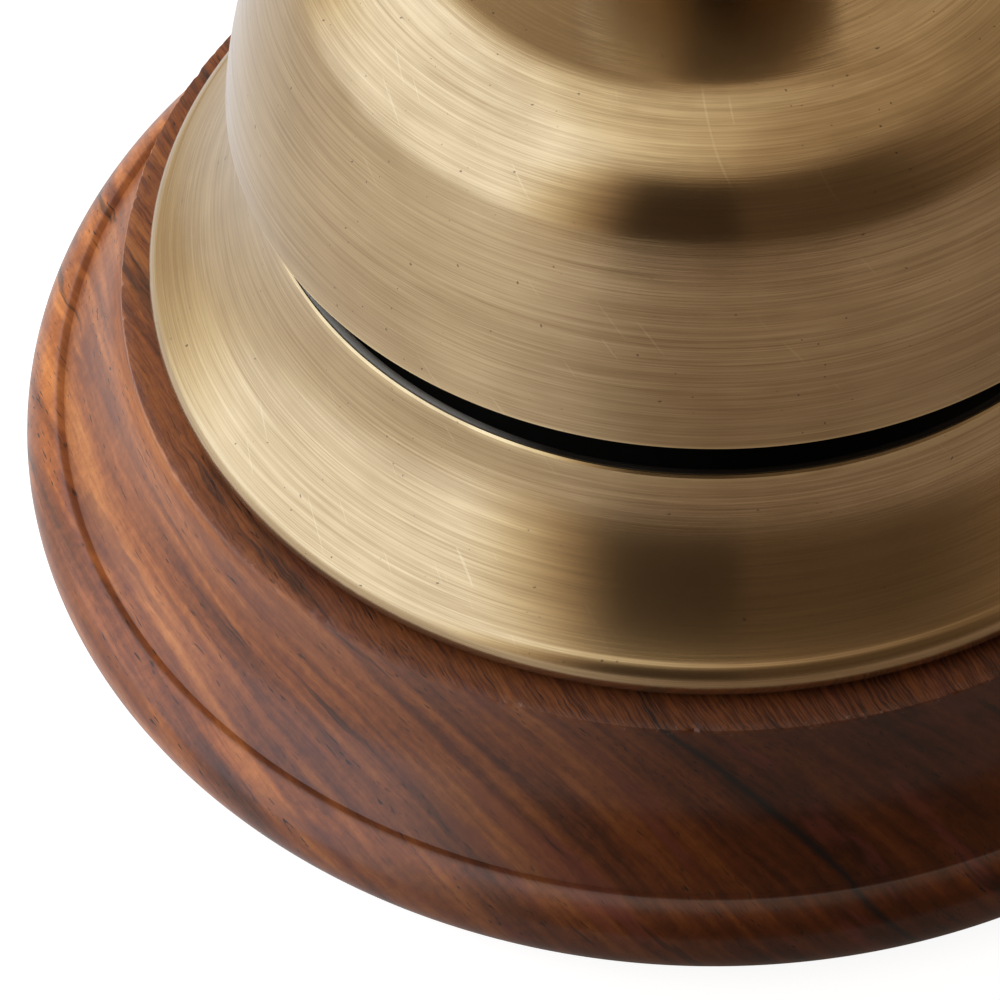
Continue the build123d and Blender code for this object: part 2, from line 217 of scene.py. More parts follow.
# ---------------------------------------------------------------- materials
def aged_brass(name, spread=0.16, rim=None, lip=None, dark_below=None):
    """Antiqued brass: a brown patina brushed back in rings and pitted here and there.

    rim is the height of a worn outer edge over an inside painted near black, which is painted shade.
    lip is the (radius, height) of a worn turned-in edge whose inner face is painted pale on the -X side,
    painted light, and near black elsewhere, painted shade, with a deck below it painted black as painted
    shade.
    Under the height dark_below the colour is painted darker, which is painted shade under the part.
    """
    material, shader, surface, place, (x, y, z) = new_material(name)
    radius, unit_x, _ = around_axis(shader, x, y)
    hair = turned_streaks(shader, x, y, z, 3.0, 9.0, 3.0, 0.7)
    fine = turned_streaks(shader, x, y, z, 2.4, 4.6, 3.0, 0.65)
    middle = turned_streaks(shader, x, y, z, 1.8, 1.5, 2.0, 0.6)
    cloud = turned_streaks(shader, x, y, z, 3.0, 0.12, 3.0, 0.6)
    depth = shader.math("MULTIPLY", hair, 0.34)
    depth = shader.math("MULTIPLY_ADD", fine, 0.26, depth)
    depth = shader.math("MULTIPLY_ADD", middle, 0.16, depth)
    depth = shader.math("MULTIPLY_ADD", cloud, 0.24, depth)
    colour = shader.ramp(
        depth,
        (0.36, (0.36, 0.232, 0.107)),
        (0.47, (0.50, 0.350, 0.182)),
        (0.55, (0.61, 0.445, 0.245)),
        (0.68, (0.76, 0.590, 0.345)),
    )
    pits = shader.window(shader.noise(place, 1.9, 1.0, 0.4), 0.77, 0.80)
    scratch_place = shader.combine(
        shader.math("MULTIPLY", shader.math("ADD", x, shader.math("MULTIPLY", z, 0.8)), 2.2),
        shader.math("MULTIPLY", shader.math("SUBTRACT", z, x), 0.09),
        shader.math("MULTIPLY", y, 0.09),
    )
    scratches = shader.window(shader.noise(scratch_place, 1.0, 1.0, 0.5), 0.735, 0.76)
    colour = shader.stain(colour, pits, 0.7, (0.09, 0.055, 0.03, 1.0))
    colour = shader.stain(colour, scratches, 0.22, (0.85, 0.70, 0.45, 1.0))
    rough = shader.window(depth, 0.38, 0.62, spread + 0.04, spread - 0.04)
    patchy = shader.window(turned_streaks(shader, x, y, z, 9.0, 0.6), 0.30, 0.62, 0.3, 1.0)
    gold = (0.92, 0.72, 0.40, 1.0)
    black = (0.010, 0.008, 0.006, 1.0)
    facing = shader.node("ShaderNodeSeparateXYZ")
    shader.put(facing.inputs[0], shader.node("ShaderNodeTexCoord").outputs["Normal"])
    uncoated_painted_light_shade = None
    if rim:
        edge = shader.math("MULTIPLY", shader.window(z, rim + 0.6, rim + 0.15), patchy)
        colour = shader.mix(edge, colour, gold)
        # Faces turned downwards, the dome's inside, are painted near black: painted shade.
        uncoated_painted_light_shade = shader.window(facing.outputs[2], -0.04, -0.12)
        colour = shader.mix(uncoated_painted_light_shade, colour, black)
        rough = shader.math("MULTIPLY_ADD", uncoated_painted_light_shade, 0.4, rough)
    if lip:
        edge = shader.between(radius, lip[0] + 1.25, lip[0] + 1.45, lip[0] + 1.6, lip[0] + 1.85)
        colour = shader.stain(colour, edge, shader.math("MULTIPLY", patchy, 0.5), gold)
        inner = shader.window(radius, lip[0] + 1.40, lip[0] + 1.15)
        # The inner band is painted pale towards -X and near black elsewhere: painted light on that side,
        # painted shade on the rest.
        lit_side = shader.window(unit_x, -0.30, -0.58)
        side_light_and_shade = shader.mix(lit_side, (0.030, 0.022, 0.015, 1.0), (0.80, 0.74, 0.66, 1.0))
        colour = shader.mix(inner, colour, side_light_and_shade)
        rough = shader.math("MULTIPLY_ADD", inner, 0.25, rough)
        # The deck inside the lip is painted black: painted shade in the well.
        well_shade = shader.math("MULTIPLY", shader.window(radius, lip[0] + 0.9, lip[0] + 0.4),
                           shader.window(z, lip[1] - 0.45, lip[1] - 1.4))
        colour = shader.mix(well_shade, colour, black)
        shader.put(surface.inputs["Metallic"], shader.math("MULTIPLY_ADD", inner, -0.75, 1.0))
        uncoated_painted_light_shade = inner
    else:
        surface.inputs["Metallic"].default_value = 1.0
    if dark_below:
        # Below this height the colour is painted darker: painted shade under the part.
        under = shader.window(z, dark_below + 0.8, dark_below - 1.5)
        colour = shader.stain(colour, under, 0.72, (0.10, 0.075, 0.050, 1.0))
    shader.put(surface.inputs["Base Color"], colour)
    shader.put(surface.inputs["Roughness"], rough)
    surface.inputs["Anisotropic"].default_value = 0.80
    surface.inputs["Anisotropic Rotation"].default_value = 0.25
    tangent = shader.node("ShaderNodeTangent", direction_type="RADIAL", axis="Z")
    shader.put(surface.inputs["Tangent"], tangent.outputs[0])
    surface.inputs["Coat Weight"].default_value = 0.6
    if uncoated_painted_light_shade:
        shader.put(surface.inputs["Coat Weight"], shader.math("MULTIPLY_ADD", uncoated_painted_light_shade, -0.6, 0.6))
    surface.inputs["Coat Roughness"].default_value = 0.16
    height = shader.math("SUBTRACT", hair, shader.math("MULTIPLY", pits, 0.6))
    shader.put(surface.inputs["Normal"], shader.bump(height, 0.22, 0.03))
    return material


def rosewood(ledge_z, ledge_r, vein):
    """Turned rosewood from one slanting board: the grain runs one way through the whole plinth.

    The ledge and its corner are aged on their own. The bead's crest is painted lighter, a painted
    highlight, and the groove inside it darker, painted shade. The -X side is painted lighter and the +X
    side darker, painted light and shade. vein is how far across the board its darkest line lies.
    """
    material, shader, surface, place, (x, y, z) = new_material("rosewood_turned")
    along = shader.math("ADD", shader.math("MULTIPLY", x, 0.51), shader.math("MULTIPLY", y, -0.86))
    flat = shader.math("ADD", shader.math("MULTIPLY", x, 0.86), shader.math("MULTIPLY", y, 0.51))
    across = shader.math("MULTIPLY_ADD", z, 0.77, flat)
    other = shader.math("MULTIPLY_ADD", z, -0.64, shader.math("MULTIPLY", flat, 0.40))

    def board(sideways, along_rate, side_rate, other_rate):
        """A point in the board, with each direction scaled by its rate."""
        return shader.combine(
            shader.math("MULTIPLY", along, along_rate),
            shader.math("MULTIPLY", sideways, side_rate),
            shader.math("MULTIPLY", other, other_rate),
        )

    drift = shader.noise(board(across, 0.016, 0.03, 0.02), 1.0, 2.0, 0.45)
    tremor = shader.noise(board(across, 0.25, 0.3, 0.2), 1.0, 3.0, 0.6)
    waver = shader.math("MULTIPLY_ADD", drift, 7.0, across)
    waver = shader.math("MULTIPLY_ADD", tremor, 0.9, waver)

    def grain(along_rate, side_rate, other_rate):
        """The same, but following the grain as it wanders."""
        return board(waver, along_rate, side_rate, other_rate)

    bands = shader.noise(grain(0.012, 0.16, 0.03), 1.0, 3.0, 0.6)
    stripes = shader.noise(grain(0.03, 0.70, 0.12), 1.0, 2.0, 0.5)
    fibre = shader.noise(grain(0.22, 4.5, 1.8), 1.0, 3.0, 0.65)
    mottle = shader.noise(place, 0.9, 4.0, 0.65)
    body = shader.math("MULTIPLY", bands, 0.44)
    body = shader.math("MULTIPLY_ADD", stripes, 0.32, body)
    body = shader.math("MULTIPLY_ADD", fibre, 0.10, body)
    body = shader.math("MULTIPLY_ADD", mottle, 0.14, body)
    colour = shader.ramp(
        body,
        (0.33, (0.026, 0.0075, 0.003)),
        (0.42, (0.080, 0.020, 0.006)),
        (0.50, (0.150, 0.040, 0.010)),
        (0.58, (0.230, 0.072, 0.018)),
        (0.70, (0.330, 0.130, 0.040)),
    )
    # The colour is multiplied by up to 2.6 on the -X side and by 0.44, 0.34 and 0.20 on the +X side:
    # painted light on one side, painted shade on the other.
    toward_shaded_side = shader.math("ADD", shader.math("MULTIPLY", x, 0.9), shader.math("MULTIPLY", y, -0.45))
    painted_side_light = shader.window(toward_shaded_side, 40.0, -42.0)
    colour = shader.mix(painted_side_light, shader.mix(1.0, colour, (0.44, 0.34, 0.20, 1.0), "MULTIPLY"),
                        shader.mix(1.0, colour, (2.6, 2.7, 2.5, 1.0), "MULTIPLY"))
    plum = shader.window(shader.noise(grain(0.05, 0.22, 0.10), 1.0, 3.0, 0.6), 0.54, 0.64)
    colour = shader.stain(colour, plum, 0.45, (0.130, 0.028, 0.018, 1.0))
    streaks = shader.window(shader.noise(grain(0.03, 0.42, 0.08), 1.0, 3.0, 0.6), 0.62, 0.67)
    colour = shader.stain(colour, streaks, 0.65, (0.016, 0.006, 0.004, 1.0))
    off_vein = shader.math("ABSOLUTE", shader.math("SUBTRACT", waver, vein))
    ragged = shader.noise(grain(0.5, 0.0, 0.4), 1.0, 3.0, 0.7)
    vein_line = shader.window(off_vein, shader.math("MULTIPLY_ADD", ragged, 1.3, 0.15), 0.0)
    colour = shader.stain(colour, vein_line, 0.9, (0.006, 0.004, 0.004, 1.0))
    pores = shader.window(shader.noise(grain(0.50, 3.2, 1.5), 1.0, 1.0, 0.5), 0.655, 0.71)
    crowd = shader.window(shader.noise(grain(0.03, 0.30, 0.1), 1.0, 2.0, 0.5), 0.42, 0.60, 0.25, 1.0)
    pores = shader.math("MULTIPLY", pores, crowd)
    colour = shader.stain(colour, pores, 0.85, (0.010, 0.004, 0.003, 1.0))
    radius, _, _ = around_axis(shader, x, y)
    on_ledge = shader.math("MULTIPLY", shader.window(z, ledge_z - 0.35, ledge_z - 0.1),
                           shader.window(radius, ledge_r + 0.1, ledge_r - 0.25))
    pale_fibre = shader.window(fibre, 0.38, 0.62)
    raw = shader.mix(pale_fibre, (0.028, 0.007, 0.003, 1.0), (0.26, 0.075, 0.016, 1.0))
    colour = shader.stain(colour, on_ledge, 0.42, raw)
    arris = shader.math("MULTIPLY", shader.window(z, ledge_z - 0.9, ledge_z - 0.3),
                        shader.window(radius, ledge_r - 0.55, ledge_r - 0.25))
    chips = shader.window(shader.noise(place, 0.8, 4.0, 0.75), 0.58, 0.70)
    colour = shader.stain(colour, arris, shader.math("MULTIPLY", chips, 0.45), (0.40, 0.22, 0.15, 1.0))
    # The groove inside the bead is painted darker: painted shade in the crease.
    groove = shader.between(radius, ledge_r + 6.35, ledge_r + 6.75, ledge_r + 7.10, ledge_r + 7.55)
    groove = shader.math("MULTIPLY", groove, shader.window(z, ledge_z - 17.0, ledge_z - 16.0))
    colour = shader.stain(colour, groove, 0.12, (0.020, 0.007, 0.004, 1.0))
    # The bead's crest is painted lighter and bluer: a painted highlight.
    crest = shader.between(radius, ledge_r + 7.3, ledge_r + 7.8, ledge_r + 8.6, ledge_r + 9.6)
    crest = shader.math("MULTIPLY", crest, shader.window(z, ledge_z - 17.5, ledge_z - 16.0))
    highlight_tint = shader.mix(1.0, colour, (1.45, 1.5, 1.6, 1.0), "MULTIPLY")
    colour = shader.stain(colour, crest, 0.8, highlight_tint)
    shader.put(surface.inputs["Base Color"], colour)
    rough = shader.math("MULTIPLY_ADD", fibre, 0.16, 0.24)
    shader.put(surface.inputs["Roughness"], shader.math("MULTIPLY_ADD", on_ledge, 0.25, rough))
    surface.inputs["Specular IOR Level"].default_value = 0.35
    shader.put(surface.inputs["Coat Weight"], shader.math("MULTIPLY_ADD", on_ledge, -0.3, 0.40))
    surface.inputs["Coat Roughness"].default_value = 0.20
    height = shader.math("SUBTRACT", shader.math("MULTIPLY", fibre, 0.5), pores)
    strength = shader.math("MULTIPLY_ADD", on_ledge, 0.5, 0.30)
    shader.put(surface.inputs["Normal"], shader.bump(height, strength, 0.06))
    return material


def plated_steel(name, tint=(0.55, 0.56, 0.57), rough=0.34):
    """Zinc-plated steel: faint cloudy passivation and fine drawing lines."""
    material, shader, surface, place, (x, y, z) = new_material(name)
    cloud = shader.noise(place, 0.35, 4.0, 0.6)
    lines = shader.noise(shader.combine(shader.math("MULTIPLY", x, 0.8), shader.math("MULTIPLY", y, 0.8),
                                        shader.math("MULTIPLY", z, 9.0)), 1.0, 2.0, 0.6)
    dark = tuple(c * 0.72 for c in tint)
    light = tuple(min(1.0, c * 1.2) for c in tint)
    shader.put(surface.inputs["Base Color"], shader.ramp(cloud, (0.35, dark), (0.65, light)))
    surface.inputs["Metallic"].default_value = 1.0
    shader.put(surface.inputs["Roughness"], shader.window(cloud, 0.3, 0.7, rough - 0.07, rough + 0.1))
    shader.put(surface.inputs["Normal"], shader.bump(lines, 0.25, 0.03))
    return material


def turned_brass():
    """Bright uncoated brass of the small turned parts."""
    material, shader, surface, place, (x, y, z) = new_material("bright_brass_turned")
    lines = turned_streaks(shader, x, y, z, 3.0, 8.0)
    tarnish = shader.noise(place, 0.25, 3.0, 0.6)
    shader.put(surface.inputs["Base Color"],
               shader.ramp(tarnish, (0.35, (0.55, 0.37, 0.14)), (0.6, (0.82, 0.62, 0.30))))
    surface.inputs["Metallic"].default_value = 1.0
    shader.put(surface.inputs["Roughness"], shader.window(tarnish, 0.3, 0.7, 0.32, 0.20))
    shader.put(surface.inputs["Normal"], shader.bump(lines, 0.3, 0.03))
    return material


def wool_felt():
    """Pressed green felt with short matted fibres."""
    material, shader, surface, place, _ = new_material("felt_green")
    matting = shader.noise(place, 2.2, 5.0, 0.7, warp=1.5)
    shader.put(surface.inputs["Base Color"],
               shader.ramp(matting, (0.3, (0.012, 0.045, 0.022)), (0.7, (0.045, 0.12, 0.06))))
    surface.inputs["Roughness"].default_value = 0.95
    surface.inputs["Sheen Weight"].default_value = 0.4
    shader.put(surface.inputs["Normal"], shader.bump(matting, 0.8, 0.25))
    return material


def moulded_rubber():
    """Black rubber of the lever's buffer."""
    material, shader, surface, place, _ = new_material("rubber_black")
    bloom = shader.noise(place, 1.5, 4.0, 0.6)
    shader.put(surface.inputs["Base Color"],
               shader.ramp(bloom, (0.35, (0.012, 0.012, 0.012)), (0.7, (0.05, 0.048, 0.046))))
    surface.inputs["Roughness"].default_value = 0.62
    shader.put(surface.inputs["Normal"], shader.bump(bloom, 0.3, 0.05))
    return material


def pressed_fibre():
    """Red vulcanised fibre of the washer under the dome."""
    material, shader, surface, place, _ = new_material("fibre_red")
    flecks = shader.noise(place, 2.5, 4.0, 0.65)
    shader.put(surface.inputs["Base Color"],
               shader.ramp(flecks, (0.3, (0.16, 0.03, 0.018)), (0.7, (0.36, 0.09, 0.05))))
    surface.inputs["Roughness"].default_value = 0.6
    shader.put(surface.inputs["Normal"], shader.bump(flecks, 0.3, 0.05))
    return material


# ---------------------------------------------------------------- shapes of revolution
def arc(start, from_deg, to_deg, radius, steps):
    """Points (radius, height) of an arc whose outward normal turns between two angles.

    A positive radius bulges outwards and a negative one is hollow.
    """
    centre = (start[0] - radius * cos(radians(from_deg)), start[1] - radius * sin(radians(from_deg)))
    angles = [radians(from_deg + (to_deg - from_deg) * i / steps) for i in range(steps + 1)]
    return [(centre[0] + radius * cos(a), centre[1] + radius * sin(a)) for a in angles]


def hollow_through(start, end, radius, steps):
    """Points of a hollow arc of that radius from start to end, bowed towards the axis and down."""
    middle = ((start[0] + end[0]) / 2, (start[1] + end[1]) / 2)
    chord = hypot(end[0] - start[0], end[1] - start[1])
    reach = (radius**2 - (chord / 2) ** 2) ** 0.5
    side = ((start[1] - end[1]) / chord, (end[0] - start[0]) / chord)
    if side[0] + side[1] < 0:
        side = (-side[0], -side[1])
    centre = (middle[0] + side[0] * reach, middle[1] + side[1] * reach)
    first = atan2(start[1] - centre[1], start[0] - centre[0])
    last = atan2(end[1] - centre[1], end[0] - centre[0])
    sweep = (last - first + pi) % (2 * pi) - pi
    angles = [first + sweep * i / steps for i in range(steps + 1)]
    return [(centre[0] + radius * cos(a), centre[1] + radius * sin(a)) for a in angles]


def revolve(name, profile, around, shift=None):
    """A closed mesh from a closed outline of (radius, height) in millimetres, turned about Z.

    shift(r, z, angle) may move a vertex, returning its new (r, z).
    """
    outline = []
    for before, point in zip(profile[-1:] + profile, profile):
        if hypot(point[0] - before[0], point[1] - before[1]) > 1e-4:
            outline.append(point)
    vertices = []
    rings = []
    for r, z in outline:
        if r < 1e-6:
            rings.append([len(vertices)] * around)
            vertices.append((0.0, 0.0, z * MM))
            continue
        rings.append(list(range(len(vertices), len(vertices) + around)))
        for i in range(around):
            angle = 2 * pi * i / around
            out, up = shift(r, z, angle) if shift else (r, z)
            vertices.append((out * cos(angle) * MM, out * sin(angle) * MM, up * MM))
    faces = []
    for low, high in zip(rings, rings[1:] + rings[:1]):
        if low[0] == low[1] and high[0] == high[1]:
            continue
        for i in range(around):
            j = (i + 1) % around
            corners = [low[i], low[j], high[j], high[i]]
            faces.append(list(dict.fromkeys(corners)))
    mesh = bpy.data.meshes.new(name)
    mesh.from_pydata(vertices, [], faces)
    made = bmesh.new()
    made.from_mesh(mesh)
    bmesh.ops.recalc_face_normals(made, faces=made.faces)
    made.to_mesh(mesh)
    made.free()
    mesh.polygons.foreach_set("use_smooth", [True] * len(mesh.polygons))
    mesh.set_sharp_from_angle(angle=radians(28))
    piece = bpy.data.objects.new(name, mesh)
    bpy.context.scene.collection.objects.link(piece)
    return piece


def dress(piece, body, slot, material, *replaced):
    """Material, body and the CAD nodes that a piece stands for. slot is not used."""
    piece.data.materials.append(material)
    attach(piece, body)
    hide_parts(*replaced)


def size_of(node):
    """(reach along X, lowest height, highest height) of a node, in millimetres.

    A round node's reach is its radius.
    """
    low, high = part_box(node)
    return high[0] / MM, low[2] / MM, high[2] / MM


# ---------------------------------------------------------------- pieces
def dome_side(rim, inset, top, steps):
    """The dome's profile from the rim to its hole, that far inside the outer face."""
    points = [(rim[0] - inset * cos(radians(WALL_DEG[0])), rim[1])]
    for low, high, radius in zip(WALL_DEG, WALL_DEG[1:], DOME_ARCS):
        points += arc(points[-1], low, high, radius - inset, steps)[1:]
    edge = points[-1]
    for i in range(1, steps + 1):
        share = i / steps
        rise = (top - edge[1]) * (1 - (1 - share) ** 2)
        points.append((edge[0] + (DOME_SEAT_R - edge[0]) * share, edge[1] + rise))
    return points + [(NECK_R, top)]


def make_dome(brass):
    rim_r, rim_z, top_z = size_of("dome")
    rim = (rim_r, rim_z + 0.25)
    outside = dome_side(rim, 0.0, top_z, 28)
    inside = dome_side(rim, DOME_WALL, top_z - DOME_WALL, 14)
    edge = [(rim_r - 0.12, rim_z + 0.06), (rim_r - 0.35, rim_z), (rim_r - DOME_WALL + 0.3, rim_z)]
    piece = revolve("bell_dome", inside[::-1] + edge[::-1] + outside, 480)
    dress(piece, "base", "aged_brass", brass, "dome")


def make_skirt(brass):
    outer_r, foot_z, top_z = size_of("base_skirt")
    _, deck_z, _ = size_of("bracket")
    roll_start = 66.0
    side = (outer_r, foot_z + FOOT_ROLL_R)
    join = arc(side, 0.0, roll_start, FOOT_ROLL_R, 1)[-1]
    lip_r = outer_r - LIP_INSET
    lip_top = top_z - 0.03
    flare = hollow_through((lip_r + 1.6, lip_top - 0.2), join, FLARE_R, 56)
    roll = arc(join, roll_start, -170.0, FOOT_ROLL_R, 40)
    under_lip = (lip_r + 1.1, deck_z + 2.0)
    inside = hollow_through((roll[-1][0] - 0.2, roll[-1][1] + 1.2), under_lip, 25.0, 16)
    deck = [(lip_r + 0.4, deck_z - 1.0), (BOLT_R, deck_z - 1.0), (BOLT_R, deck_z)]
    dish = [(lip_r - 1.2, deck_z), (lip_r - 0.35, deck_z + 0.3), (lip_r, deck_z + 1.2)]
    fold = arc((lip_r, lip_top - LIP_FOLD_R), 180.0, 90.0, LIP_FOLD_R, 14)
    piece = revolve("spun_skirt", flare + roll[1:] + inside + deck + dish + fold, 480)
    dress(piece, "base", "aged_brass", brass, "base_skirt")


def worn_arris(ledge_r, ledge_z):
    """A shift for revolve() that wears and chips the plinth's upper corner."""

    def shift(r, z, angle):
        near = max(0.0, 1.0 - hypot(r - ledge_r, z - ledge_z) / 0.9)
        if near == 0.0:
            return r, z
        at = Vector((cos(angle), sin(angle), 0.0)) * ledge_r
        chips = max(0.0, noise.noise(at * 0.9) - 0.18) * 0.5
        nicks = max(0.0, noise.noise(at * 2.3 + Vector((9, 0, 0)))) * 0.12
        worn = (chips + nicks) * near
        return r - worn, z - worn * 0.8

    return shift


def make_plinth(wood):
    outer_r, low_z, ledge_z = size_of("plinth")
    ledge_r = outer_r - LEDGE_INSET
    widest = (outer_r, low_z + TUCK_R)
    tuck = arc(widest, 0.0, -90.0, TUCK_R, 16)[::-1]
    bead = arc(widest, 0.0, 70.0, BEAD_R, 26)
    crest_r, crest_z = bead[-1]
    bead += [(crest_r - 0.28, crest_z - 0.02), (crest_r - 0.52, crest_z - 0.11)]
    valley = (crest_r - 0.78, crest_z - 0.19)
    cove = hollow_through(valley, (ledge_r, ledge_z - 0.35), COVE_R, 60)
    corner = [(ledge_r - 0.1, ledge_z - 0.1), (ledge_r - 0.35, ledge_z)]
    ledge = [(ledge_r - inset, ledge_z) for inset in (1.0, 3.0, 8.2)]
    bore_z = low_z + COUNTERBORE_DEEP
    bore = [(BOLT_R, ledge_z), (BOLT_R, bore_z), (COUNTERBORE_R, bore_z), (COUNTERBORE_R, low_z)]
    outline = tuck + bead[1:] + cove + corner + ledge + bore
    piece = revolve("turned_plinth", outline, 720, worn_arris(ledge_r, ledge_z))
    dress(piece, "base", "rosewood", wood, "plinth")


def quarter_turn(steps):
    """Angles from just past 0 to a right angle, in radians."""
    return [(i + 1) / steps * pi / 2 for i in range(steps)]


def make_knob(brass):
    wide_r, base_z, top_z = size_of("knob")
    neck_z = base_z + 1.0
    wide_z = base_z + KNOB_WIDE_UP
    bore_r, _, bore_z = size_of("push_rod")
    waist_r = KNOB_WAIST_R
    foot = [(bore_r, base_z), (waist_r - 0.25, base_z), (waist_r, base_z + 0.25), (waist_r, neck_z)]
    belly = [
        (waist_r + (wide_r - waist_r) * sin(turn), neck_z + (wide_z - neck_z) * (1 - cos(turn)))
        for turn in quarter_turn(24)
    ]
    crown = [(wide_r * cos(turn), wide_z + (top_z - wide_z) * sin(turn)) for turn in quarter_turn(32)]
    crown[-1] = (0.0, top_z)
    bore = [(0.0, bore_z), (bore_r, bore_z)]
    piece = revolve("push_knob", foot + belly + crown + bore, 256)
    dress(piece, "plunger", "aged_brass", brass, "knob")


def make_collar_nut(brass):
    nut_r, low_z, high_z = size_of("collar_nut")
    side = [(NECK_R, low_z), (nut_r - 0.4, low_z), (nut_r, low_z + 0.4)]
    groove_z = (low_z + high_z) / 2 - 0.5
    groove = arc((nut_r, groove_z + 0.28), -40.0, 40.0, -0.36, 8)
    side.append((nut_r, groove_z - 0.28))
    side += [(min(nut_r, r), z) for r, z in groove[::-1]]
    side.append((nut_r, groove_z + 0.3))
    top = arc((nut_r, high_z - 1.2), 0.0, 90.0, 1.2, 12)
    mouth = [(NECK_R + 0.4, high_z), (NECK_R, high_z - 0.3)]
    piece = revolve("collar_nut_turned", side + top + mouth, 256)
    dress(piece, "base", "aged_brass", brass, "collar_nut")


def make_felt(felt):
    pad_r, _, thick = size_of("felt_pad")

    def fray(r, z, angle):
        """Let the outer edge waver, and leave the hole round."""
        at = Vector((cos(angle), sin(angle), z)) * r * 0.6
        return (r - 0.25 + 0.22 * noise.noise(at), z) if r > PAD_HOLE_R else (r, z)

    edge = [(pad_r - 0.2, 0.0), (pad_r, 0.3), (pad_r, thick - 0.2), (pad_r - 0.1, thick)]
    outline = [(PAD_HOLE_R, 0.0)] + edge + [(PAD_HOLE_R, thick)]
    piece = revolve("felt_disc", outline, 720, fray)
    dress(piece, "base", "felt", felt, "felt_pad")


def make_spring(steel):
    """The return spring's coil, at one fixed length; the real spring shortens as the plunger comes down.
    """
    low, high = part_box("return_spring")
    coil_r = (high[0] - low[0]) / 2 / MM - 0.3
    bottom_z = low[2] / MM + WIRE_R
    top_z = high[2] / MM - WIRE_R
    turns = 3.75
    steps = 180
    sides = 10
    vertices = []
    for i in range(steps + 1):
        angle = 2 * pi * turns * i / steps
        for j in range(sides):
            tilt = 2 * pi * j / sides
            r = coil_r + WIRE_R * cos(tilt)
            z = bottom_z + (top_z - bottom_z) * i / steps + WIRE_R * sin(tilt)
            vertices.append((r * cos(angle) * MM, r * sin(angle) * MM, z * MM))
    faces = [tuple(range(sides))[::-1], tuple(range(steps * sides, (steps + 1) * sides))]
    for start in range(0, steps * sides, sides):
        for j in range(sides):
            k = (j + 1) % sides
            faces.append((start + j, start + k, start + sides + k, start + sides + j))
    mesh = bpy.data.meshes.new("return_coil")
    mesh.from_pydata(vertices, [], faces)
    mesh.polygons.foreach_set("use_smooth", [True] * len(mesh.polygons))
    piece = bpy.data.objects.new("return_coil", mesh)
    bpy.context.scene.collection.objects.link(piece)
    mesh.materials.append(steel)
    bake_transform(piece)
    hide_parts("return_spring")


def paint_nodes(finishes):
    """Give each CAD node the material of its slot."""
    for part in frame["record"]["subparts"]:
        node = frame["nodes"][part["node"]]
        node.data.materials.clear()
        node.data.materials.append(finishes[part["material_slot"]])


# ---------------------------------------------------------------- stage, light and camera
def direction_parts(shader):
    """A world direction's x and y, then its azimuth from front to right and its elevation, in degrees."""
    place = shader.node("ShaderNodeTexCoord").outputs["Generated"]
    split = shader.node("ShaderNodeSeparateXYZ")
    shader.put(split.inputs[0], place)
    x, y, z = split.outputs
    turn = shader.math("ARCTAN2", x, shader.math("MULTIPLY", y, -1.0))
    azimuth = shader.math("MULTIPLY", turn, 180.0 / pi)
    elevation = shader.math("MULTIPLY", shader.math("ARCSINE", z), 180.0 / pi)
    return x, y, azimuth, elevation


def light_studio():
    """A light tent: white to the left, pale overhead, brown and dim in front and to the right.

    Whatever the brass mirrors comes from here, so each term below is one thing that stood round
    the bell. Angles are in degrees and levels are relative brightness.
    """
    world = bpy.data.worlds.new("light_tent")
    bpy.context.scene.world = world
    world.use_nodes = True
    shader = Shader(world.node_tree)
    backdrop = world.node_tree.nodes["Background"]
    x, y, azimuth, elevation = direction_parts(shader)
    left_wall = shader.math("MULTIPLY", shader.window(azimuth, -15.5, -50.0), 1.30)
    beyond = shader.window(azimuth, -96.0, -132.0)
    far_left = shader.math("MULTIPLY", beyond, shader.window(elevation, 42.0, 18.0))
    left_wall = shader.math("MULTIPLY", left_wall, shader.math("MULTIPLY_ADD", far_left, -0.70, 1.0))
    back_left = shader.window(azimuth, -178.0, -150.0)
    left_wall = shader.math("MULTIPLY", left_wall, back_left)
    right_wall = shader.window(azimuth, 38.0, 100.0, 0.10, 0.36)
    back_wall = shader.math("MULTIPLY", shader.window(y, 0.35, 0.95), 0.30)
    wall = shader.math("ADD", shader.math("ADD", left_wall, right_wall), back_wall)
    dark_stand = shader.between(azimuth, -24.0, -12.0, 6.5, 8.5)
    wall = shader.math("MULTIPLY", wall, shader.math("MULTIPLY_ADD", dark_stand, -0.58, 1.0))
    ceiling = shader.window(x, 0.25, -0.55, 0.48, 1.50)
    ceiling = shader.math("MULTIPLY_ADD", shader.window(y, 0.0, 0.6), 0.17, ceiling)
    overhead = shader.window(elevation, 53.0, 67.0)
    level = shader.math("MULTIPLY_ADD", overhead, shader.math("SUBTRACT", ceiling, wall), wall)
    colour = shader.ramp(
        shader.math("DIVIDE", level, 1.5),
        (0.00, (0.010, 0.006, 0.004)),
        (0.07, (0.050, 0.034, 0.022)),
        (0.20, (0.150, 0.112, 0.077)),
        (0.38, (0.280, 0.230, 0.170)),
        (0.58, (0.430, 0.405, 0.340)),
        (0.76, (0.570, 0.575, 0.545)),
        (0.96, (0.710, 0.790, 0.920)),
    )
    seen = shader.node("ShaderNodeLightPath").outputs["Is Camera Ray"]
    shader.put(backdrop.inputs["Color"], shader.mix(seen, colour, (0.5, 0.5, 0.5, 1.0)))
    backdrop.inputs["Strength"].default_value = 2.0


